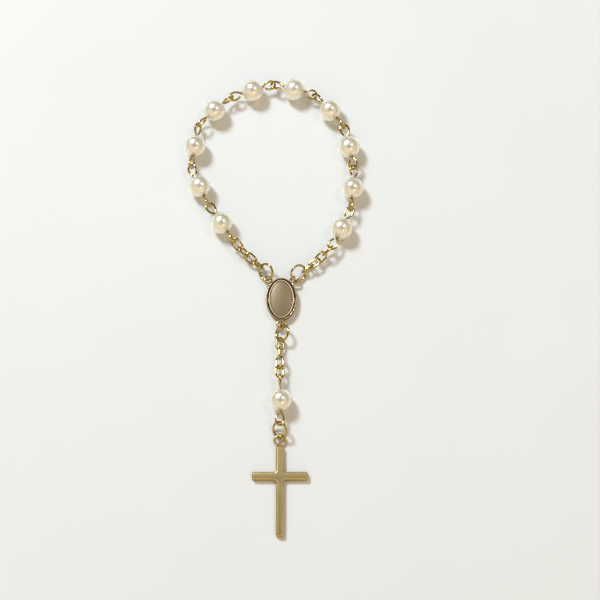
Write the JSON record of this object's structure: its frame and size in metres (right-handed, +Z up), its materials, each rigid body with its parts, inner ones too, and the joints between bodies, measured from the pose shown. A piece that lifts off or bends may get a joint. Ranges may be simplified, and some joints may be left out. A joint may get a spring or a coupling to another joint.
{
  "type": "prayer bracelet",
  "caption": "Flexible bracelet of pearls on eye pins, joined by short chains to an oval medal, with a drop of chain that ends in a pearl and a small cross, lying flat.",
  "frame": {"origin": "middle of the outline, on the surface that the bracelet lies on", "axes": "+Y from the cross toward the far side of the loop, +Z up, +X to the right"},
  "size_m": [0.0492, 0.1264, 0.006],
  "materials": {
    "pearl": "pearl lacquer",
    "gold": "polished pale gold plating",
    "face": "satin"
  },
  "bodies": {
    "root": {"pearl_1": "pearl", "pearl_2": "pearl", "pearl_3": "pearl", "pearl_4": "pearl", "pearl_5": "pearl", "pearl_6": "pearl", "pearl_7": "pearl", "pearl_8": "pearl", "pearl_9": "pearl", "pearl_10": "pearl", "pearl_drop": "pearl", "eye_pin_1": "gold", "eye_pin_2": "gold", "eye_pin_3": "gold", "eye_pin_4": "gold", "eye_pin_5": "gold", "eye_pin_6": "gold", "eye_pin_7": "gold", "eye_pin_8": "gold", "eye_pin_9": "gold", "eye_pin_10": "gold", "eye_pin_drop": "gold", "left_link_1": "gold", "left_link_2": "gold", "left_link_3": "gold", "left_link_4": "gold", "right_link_1": "gold", "right_link_2": "gold", "right_link_3": "gold", "right_link_4": "gold", "drop_link_1": "gold", "drop_link_2": "gold", "drop_link_3": "gold", "drop_link_4": "gold", "left_jump_ring": "gold", "right_jump_ring": "gold", "medal_jump_ring": "gold", "cross_jump_ring": "gold", "medal": "gold", "cross": "gold", "medal_face": "face"}
  },
  "joints": []
}
